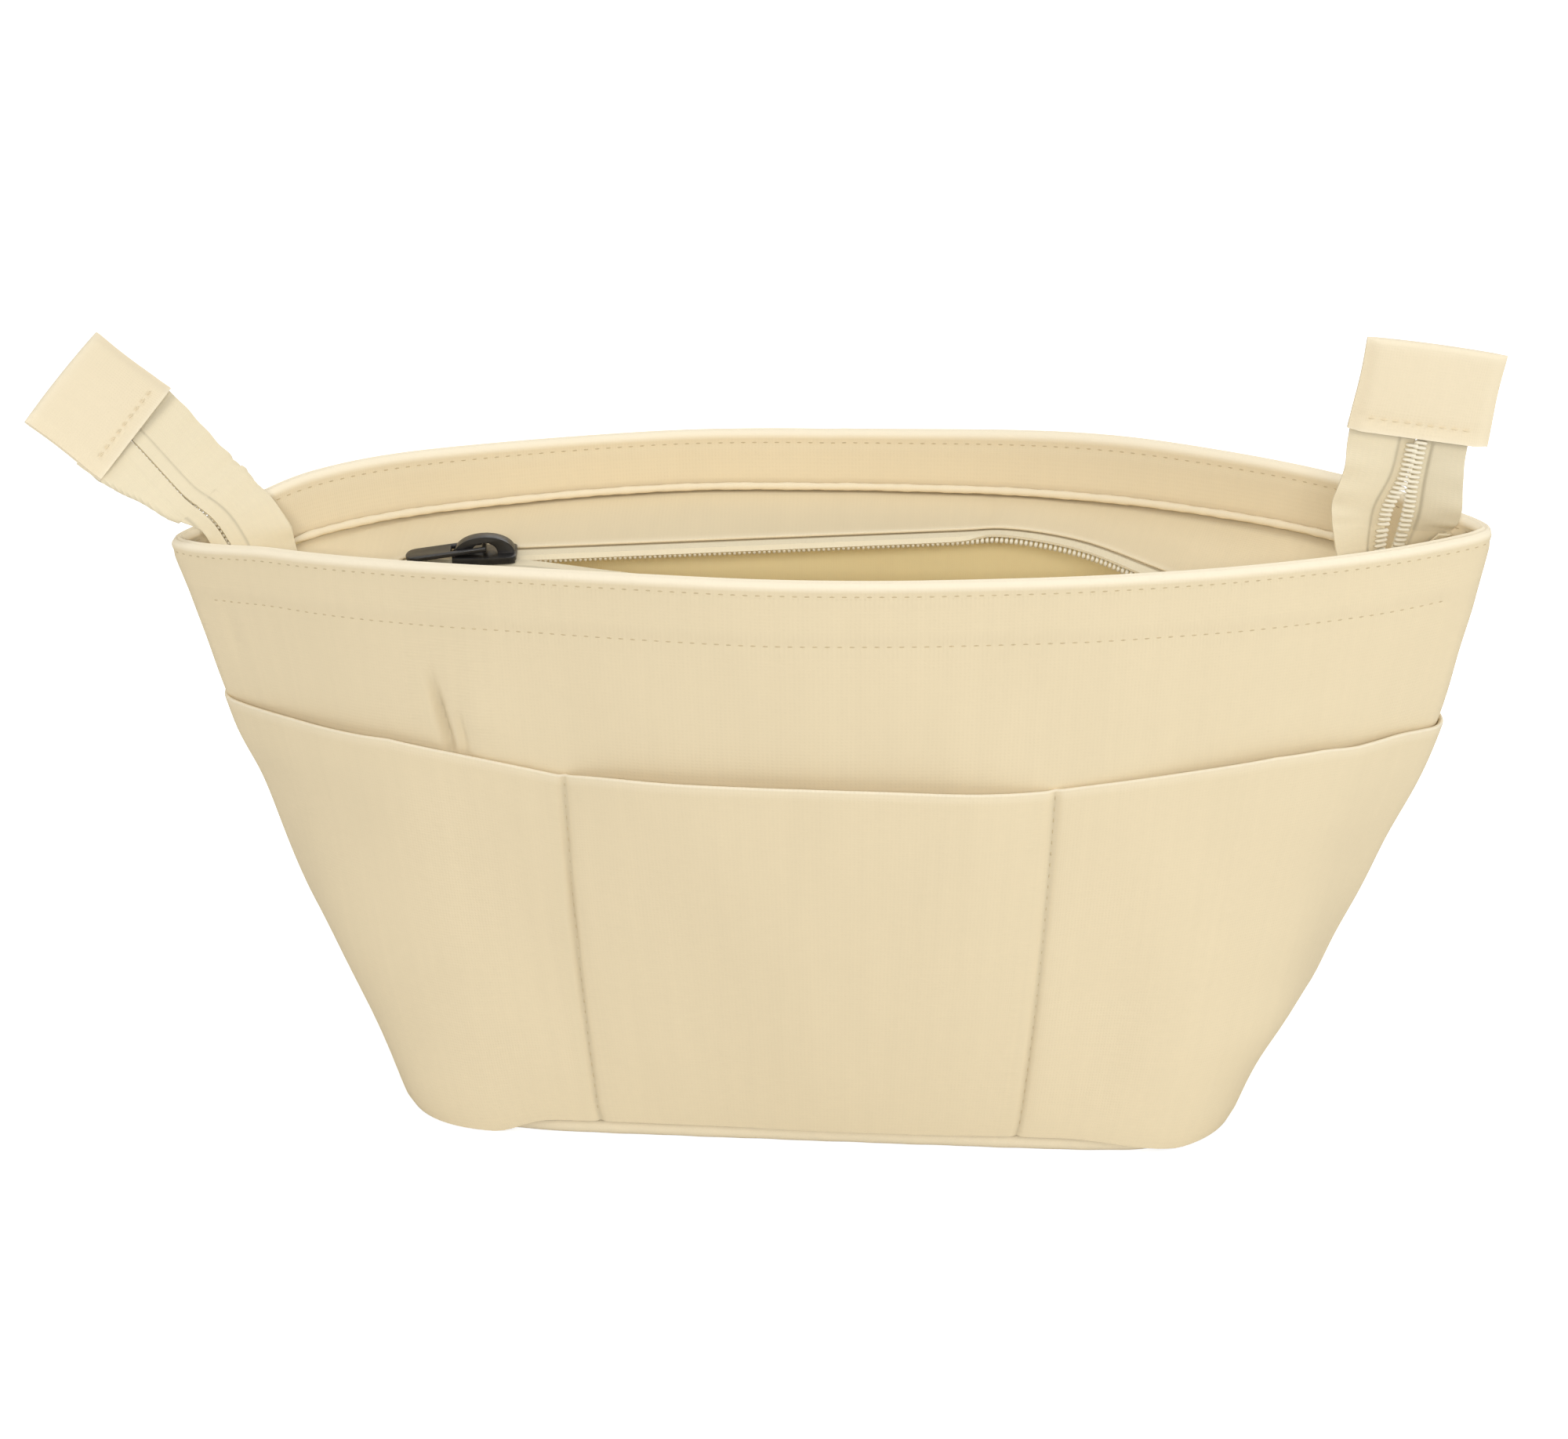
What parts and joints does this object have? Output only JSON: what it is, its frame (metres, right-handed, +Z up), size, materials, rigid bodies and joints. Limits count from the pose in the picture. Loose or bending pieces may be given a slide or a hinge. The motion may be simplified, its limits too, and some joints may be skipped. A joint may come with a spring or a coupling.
{
  "type": "purse organizer insert",
  "caption": "Soft canvas organizer insert with a zip top, outer pocket band, stiffened walls and folded zip end tabs, used to line a handbag.",
  "frame": {"origin": "middle of the base underside, on the surface it stands on", "axes": "+X along the length, -Y out of the front wall, +Z up"},
  "size_m": [0.3589, 0.1324, 0.1946],
  "materials": {
    "canvas": "matte twill canvas",
    "stiffener": "matte felt",
    "lining": "matte plain weave",
    "board": "matte",
    "zip_tape": "matte woven tape",
    "zip_coil": "satin nylon",
    "black_metal": "satin black paint"
  },
  "bodies": {
    "bag": {"front_wall_skin": "canvas", "front_wall_core": "stiffener", "front_wall_lining": "lining", "front_rim_facing": "canvas", "front_seam_piping": "canvas", "back_wall_skin": "canvas", "back_wall_core": "stiffener", "back_wall_lining": "lining", "back_rim_facing": "canvas", "back_seam_piping": "canvas", "front_pocket_band": "canvas", "back_pocket_band": "canvas", "base_skin": "canvas", "base_board": "board", "base_lining": "lining", "base_piping": "canvas", "back_zip_tape": "zip_tape", "back_zip_coil": "zip_coil", "front_left_zip_tape": "zip_tape", "front_left_zip_coil": "zip_coil", "front_throat_zip_tape": "zip_tape", "front_throat_zip_coil": "zip_coil", "front_right_zip_tape": "zip_tape", "front_right_zip_coil": "zip_coil", "back_zip_panel": "canvas", "front_zip_panel": "canvas"},
    "slider": {"zip_slider_body": "black_metal"},
    "puller": {"zip_puller": "black_metal"},
    "left_tail": {"left_tail_tape_back": "zip_tape", "left_tail_tape_front": "zip_tape", "left_tail_coil": "zip_coil", "left_tail_cap": "canvas"},
    "right_tail": {"right_tail_tape_back": "zip_tape", "right_tail_coil_back": "zip_coil", "right_tail_tape_front": "zip_tape", "right_tail_coil_front": "zip_coil", "right_tail_cap": "canvas"}
  },
  "joints": [
    {"name": "slider_travel", "type": "slide", "parent": "bag", "child": "slider", "axis": [0.9937, 0.1085, 0.0287], "range_m": [-0.008, 0.11], "deforming": ["front_left_zip_tape", "front_left_zip_coil", "front_throat_zip_tape", "front_throat_zip_coil"]},
    {"name": "puller_flip", "type": "hinge", "parent": "slider", "child": "puller", "pos_m": [-0.08612, 0.00999, 0.13159], "axis": [-0.1085, 0.9941, 0], "range_deg": [0, 180]},
    {"name": "left_tail_fold", "type": "hinge", "parent": "bag", "child": "left_tail", "pos_m": [-0.1584, 0, 0.1477], "axis": [0.4101, 0.848, 0.3356], "range_deg": [-70, 70]},
    {"name": "right_tail_fold", "type": "hinge", "parent": "bag", "child": "right_tail", "pos_m": [0.1404, 0, 0.1494], "axis": [0.9764, 0.1392, -0.1651], "range_deg": [-75, 75]}
  ]
}
